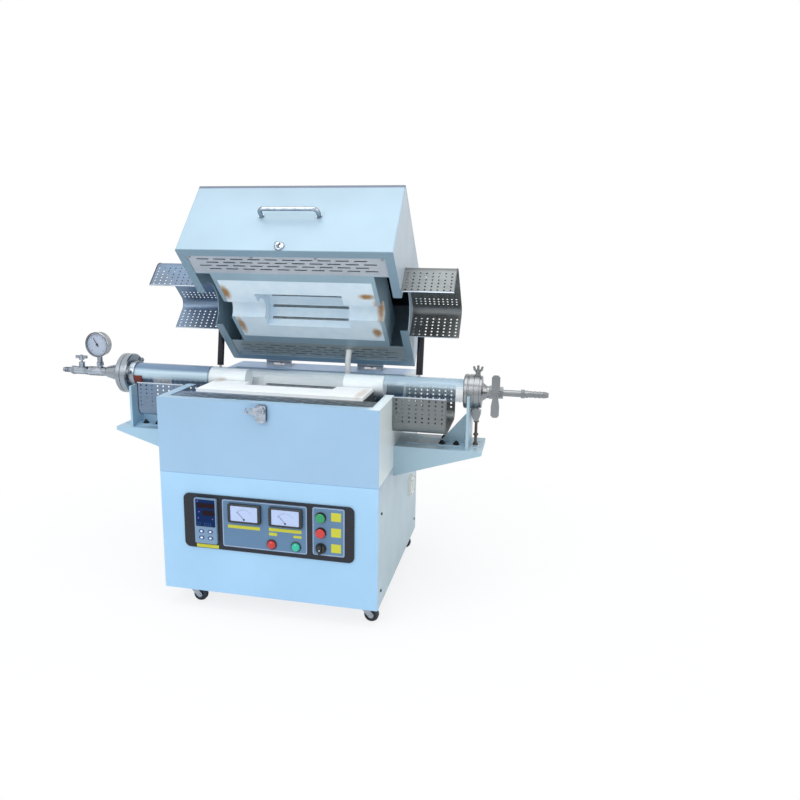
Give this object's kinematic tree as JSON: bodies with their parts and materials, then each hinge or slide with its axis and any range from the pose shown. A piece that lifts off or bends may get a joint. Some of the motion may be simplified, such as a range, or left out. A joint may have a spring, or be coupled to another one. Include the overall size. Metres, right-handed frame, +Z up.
{
  "type": "tube furnace",
  "caption": "Split tube furnace on castors: hinged lid on gas struts, quartz tube with vacuum flanges on side trays, control panel below.",
  "frame": {"origin": "on the floor, straight below the tube axis at the middle of the cabinet's width", "axes": "+X to the right along the tube axis, towards the ball valve; -Y out of the front with the control panel; +Z up"},
  "size_m": [1.333, 0.645, 1.0455],
  "materials": {
    "cabinet_paint": "satin",
    "lid_paint": "satin",
    "panel_black": "satin",
    "panel_silver": "satin",
    "controller_case": "satin",
    "meter_black": "gloss",
    "lamp_red": "gloss",
    "socket_white": "satin",
    "stainless": "satin",
    "machined_steel": "satin",
    "fibre": "matte",
    "heater_wire": "matte",
    "support_paint": "satin",
    "fixing_black": "satin",
    "quartz": "polished",
    "silicone": "matte",
    "chrome": "polished",
    "gauge_steel": "satin",
    "strut_black": "gloss",
    "strut_rod": "polished",
    "castor_steel": "satin",
    "castor_tyre": "matte",
    "lead_sleeve": "matte",
    "button_green": "gloss",
    "button_red": "gloss",
    "knob_black": "gloss",
    "pointer_black": "matte"
  },
  "bodies": {
    "furnace": {"lower_cabinet": "cabinet_paint", "upper_shell": "cabinet_paint", "rear_panel": "cabinet_paint", "control_bezel": "panel_black", "panel_plates": "panel_silver", "controller": "controller_case", "meter_cases": "meter_black", "lamps": "lamp_red", "side_socket": "socket_white", "lower_liner": "stainless", "lower_fibre": "fibre", "lower_heaters": "heater_wire", "trays": "support_paint", "flange_supports": "support_paint", "fixings": "fixing_black", "heat_troughs": "stainless", "quartz_tube": "quartz", "fibre_plugs": "fibre", "silicone_seals": "silicone", "left_ring": "machined_steel", "left_cap": "machined_steel", "left_fittings": "chrome", "gauge_case": "gauge_steel", "right_collar": "machined_steel", "clamp_ring": "machined_steel", "right_cap": "machined_steel", "right_outlet": "machined_steel", "hinge_leaves": "castor_steel", "strut_studs": "castor_steel", "latch_base": "chrome"},
    "lid": {"lid_shell": "lid_paint", "lid_liner": "stainless", "lid_fibre": "fibre", "lid_heaters": "heater_wire", "lid_shields": "stainless", "lid_handle": "chrome", "lid_leaves": "castor_steel", "lid_studs": "castor_steel", "latch_keeper": "chrome", "heater_lead": "lead_sleeve"},
    "green_button": {"green_button": "button_green"},
    "red_button": {"red_button": "button_red"},
    "selector_knob": {"selector_knob": "knob_black"},
    "gauge_pointer": {"gauge_pointer": "pointer_black"},
    "valve_knob": {"valve_knob": "chrome"},
    "ball_handle": {"ball_handle": "machined_steel"},
    "wing_nut": {"wing_nut": "machined_steel"},
    "latch_lever": {"latch_lever": "chrome"},
    "strut_cylinder_left": {"strut_cylinder_left": "strut_black"},
    "strut_rod_left": {"strut_rod_left": "strut_rod"},
    "strut_cylinder_right": {"strut_cylinder_right": "strut_black"},
    "strut_rod_right": {"strut_rod_right": "strut_rod"},
    "fork_front_left": {"fork_front_left": "castor_steel"},
    "wheel_front_left": {"wheel_front_left": "castor_tyre"},
    "fork_front_right": {"fork_front_right": "castor_steel"},
    "wheel_front_right": {"wheel_front_right": "castor_tyre"},
    "fork_back_left": {"fork_back_left": "castor_steel"},
    "wheel_back_left": {"wheel_back_left": "castor_tyre"},
    "fork_back_right": {"fork_back_right": "castor_steel"},
    "wheel_back_right": {"wheel_back_right": "castor_tyre"}
  },
  "joints": [
    {"name": "lid_hinge", "type": "hinge", "parent": "furnace", "child": "lid", "pos_m": [0, 0.257, 0.555], "axis": [1, 0, 0], "range_deg": [-4.5, 43.2]},
    {"name": "strut_swing_left", "type": "hinge", "parent": "lid", "child": "strut_cylinder_left", "pos_m": [-0.296, 0.20444, 0.67432], "axis": [1, 0, 0], "range_deg": [-22, 3]},
    {"name": "strut_stroke_left", "type": "slide", "parent": "strut_cylinder_left", "child": "strut_rod_left", "axis": [0, -0.1646, -0.9864], "range_m": [-0.0665, 0.0075]},
    {"name": "strut_swing_right", "type": "hinge", "parent": "lid", "child": "strut_cylinder_right", "pos_m": [0.296, 0.20444, 0.67432], "axis": [1, 0, 0], "range_deg": [-22, 3]},
    {"name": "strut_stroke_right", "type": "slide", "parent": "strut_cylinder_right", "child": "strut_rod_right", "axis": [0, -0.1646, -0.9864], "range_m": [-0.0665, 0.0075]},
    {"name": "latch_pivot", "type": "hinge", "parent": "furnace", "child": "latch_lever", "pos_m": [-0.005, -0.2528, 0.523], "axis": [0, 1, 0], "range_deg": [0, 90]},
    {"name": "green_press", "type": "slide", "parent": "furnace", "child": "green_button", "axis": [0, 1, 0], "range_m": [0, 0.003], "stiffness_N_per_m": 300},
    {"name": "red_press", "type": "slide", "parent": "furnace", "child": "red_button", "axis": [0, 1, 0], "range_m": [0, 0.003], "stiffness_N_per_m": 300},
    {"name": "selector_turn", "type": "hinge", "parent": "furnace", "child": "selector_knob", "pos_m": [0.138, -0.25, 0.198], "axis": [0, 1, 0], "range_deg": [-45, 45]},
    {"name": "gauge_turn", "type": "hinge", "parent": "furnace", "child": "gauge_pointer", "pos_m": [-0.573, -0.01, 0.622], "axis": [0, 1, 0], "range_deg": [-105, 165], "stiffness_Nm_per_rad": 0.001},
    {"name": "needle_valve_turn", "type": "hinge", "parent": "furnace", "child": "valve_knob", "pos_m": [-0.6302, 0, 0.582], "axis": [0, 0, 1], "continuous": true},
    {"name": "ball_valve_turn", "type": "hinge", "parent": "furnace", "child": "ball_handle", "pos_m": [0.519, -0.05, 0.546], "axis": [0, 1, 0], "range_deg": [0, 90]},
    {"name": "wing_nut_turn", "type": "hinge", "parent": "furnace", "child": "wing_nut", "pos_m": [0.47175, 0, 0.598], "axis": [0, 0, 1], "continuous": true},
    {"name": "swivel_front_left", "type": "hinge", "parent": "furnace", "child": "fork_front_left", "pos_m": [-0.225, -0.192, 0.05], "axis": [0, 0, 1], "continuous": true},
    {"name": "roll_front_left", "type": "hinge", "parent": "fork_front_left", "child": "wheel_front_left", "pos_m": [-0.199, -0.192, 0.018], "axis": [0, 1, 0], "continuous": true},
    {"name": "swivel_front_right", "type": "hinge", "parent": "furnace", "child": "fork_front_right", "pos_m": [0.225, -0.192, 0.05], "axis": [0, 0, 1], "continuous": true},
    {"name": "roll_front_right", "type": "hinge", "parent": "fork_front_right", "child": "wheel_front_right", "pos_m": [0.251, -0.192, 0.018], "axis": [0, 1, 0], "continuous": true},
    {"name": "swivel_back_left", "type": "hinge", "parent": "furnace", "child": "fork_back_left", "pos_m": [-0.225, 0.258, 0.05], "axis": [0, 0, 1], "continuous": true},
    {"name": "roll_back_left", "type": "hinge", "parent": "fork_back_left", "child": "wheel_back_left", "pos_m": [-0.199, 0.258, 0.018], "axis": [0, 1, 0], "continuous": true},
    {"name": "swivel_back_right", "type": "hinge", "parent": "furnace", "child": "fork_back_right", "pos_m": [0.225, 0.258, 0.05], "axis": [0, 0, 1], "continuous": true},
    {"name": "roll_back_right", "type": "hinge", "parent": "fork_back_right", "child": "wheel_back_right", "pos_m": [0.251, 0.258, 0.018], "axis": [0, 1, 0], "continuous": true}
  ],
  "couplings": [
    {"joint": "strut_swing_left", "follows": "lid_hinge", "ratio": -0.49144},
    {"joint": "strut_stroke_left", "follows": "lid_hinge", "m_per_rad": -0.086843},
    {"joint": "strut_swing_right", "follows": "lid_hinge", "ratio": -0.49144},
    {"joint": "strut_stroke_right", "follows": "lid_hinge", "m_per_rad": -0.086843}
  ]
}
